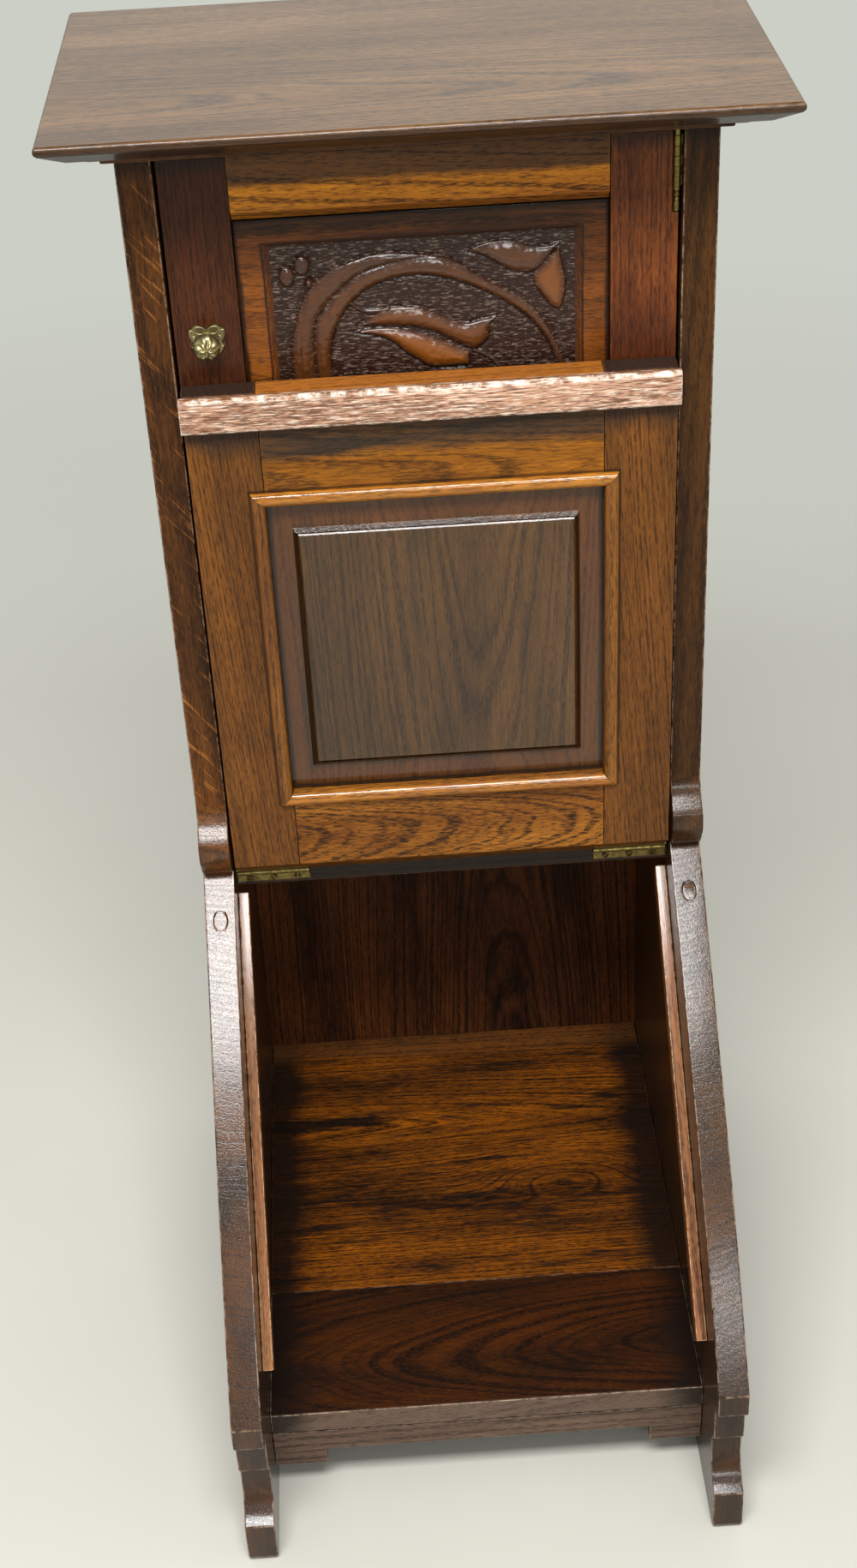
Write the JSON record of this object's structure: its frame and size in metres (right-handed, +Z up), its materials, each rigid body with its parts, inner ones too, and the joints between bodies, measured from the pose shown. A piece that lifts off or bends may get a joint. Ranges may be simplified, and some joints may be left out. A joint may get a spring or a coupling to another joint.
{
  "type": "coal scuttle",
  "caption": "Tall oak coal cupboard with a fall flap on a slanted coal compartment and a small carved cupboard door above it.",
  "frame": {"origin": "middle of the footprint, on the floor", "axes": "+Z up; the front, with the slanted coal opening, faces -Y; +X is to the right as seen from the front"},
  "size_m": [0.4236, 0.479, 0.9385],
  "materials": {
    "dark_oak": "dark stained oak, waxed",
    "warm_oak": "golden-brown stained oak, polished",
    "red_oak": "red-brown stained oak, polished",
    "top_oak": "brown stained oak, satin sheen",
    "panel_oak": "grey-brown stained oak, satin",
    "carved_oak": "dark stained carved oak, polished on the high parts",
    "floor_oak": "glossy varnished oak",
    "worn_oak": "worn, almost bare oak",
    "brass": "aged brass"
  },
  "bodies": {
    "carcase": {"side_board_right": "dark_oak", "side_board_left": "dark_oak", "dowel_plug_right": "dark_oak", "dowel_plug_left": "dark_oak", "top_board": "top_oak", "cornice_front": "dark_oak", "cornice_left": "dark_oak", "cornice_right": "dark_oak", "head_rail": "dark_oak", "back_panel_lower": "dark_oak", "back_panel_upper": "dark_oak", "cupboard_floor": "dark_oak", "coal_floor_front": "floor_oak", "coal_floor_back": "floor_oak", "front_rail": "dark_oak", "bearer_right": "dark_oak", "bearer_left": "dark_oak", "stop_strip_right": "warm_oak", "stop_strip_left": "warm_oak", "front_board": "dark_oak", "flap_hinge_left_fixed_leaf": "brass", "flap_hinge_left_pin": "brass", "flap_hinge_right_fixed_leaf": "brass", "flap_hinge_right_pin": "brass", "door_hinge_lower_frame_leaf": "brass", "door_hinge_lower_pin": "brass", "door_hinge_upper_frame_leaf": "brass", "door_hinge_upper_pin": "brass"},
    "flap": {"flap_stile_right": "warm_oak", "flap_stile_left": "warm_oak", "flap_hinge_rail": "warm_oak", "flap_end_rail": "warm_oak", "flap_panel": "panel_oak", "flap_bead_right": "warm_oak", "flap_bead_left": "warm_oak", "flap_bead_end": "warm_oak", "flap_bead_hinge": "warm_oak", "lip_bar": "worn_oak", "flap_hinge_left_moving_leaf": "brass", "flap_hinge_right_moving_leaf": "brass"},
    "door": {"door_stile_right": "red_oak", "door_stile_left": "red_oak", "door_top_rail": "warm_oak", "door_bottom_rail": "warm_oak", "door_panel": "carved_oak", "door_hinge_lower_door_leaf": "brass", "door_hinge_upper_door_leaf": "brass", "knob_backplate": "brass", "knob": "brass"}
  },
  "joints": [
    {"name": "flap_hinge", "type": "hinge", "parent": "carcase", "child": "flap", "pos_m": [0, 0.0487, 0.3918], "axis": [1, 0, 0], "range_deg": [0, 133.2]},
    {"name": "door_hinge", "type": "hinge", "parent": "carcase", "child": "door", "pos_m": [0.1509, 0.0489, 0.796], "axis": [0, 0, 1], "range_deg": [0, 90]}
  ],
  "couplings": [
    {"joint": "door_hinge", "follows": "flap_hinge", "ratio": 0.6755}
  ]
}
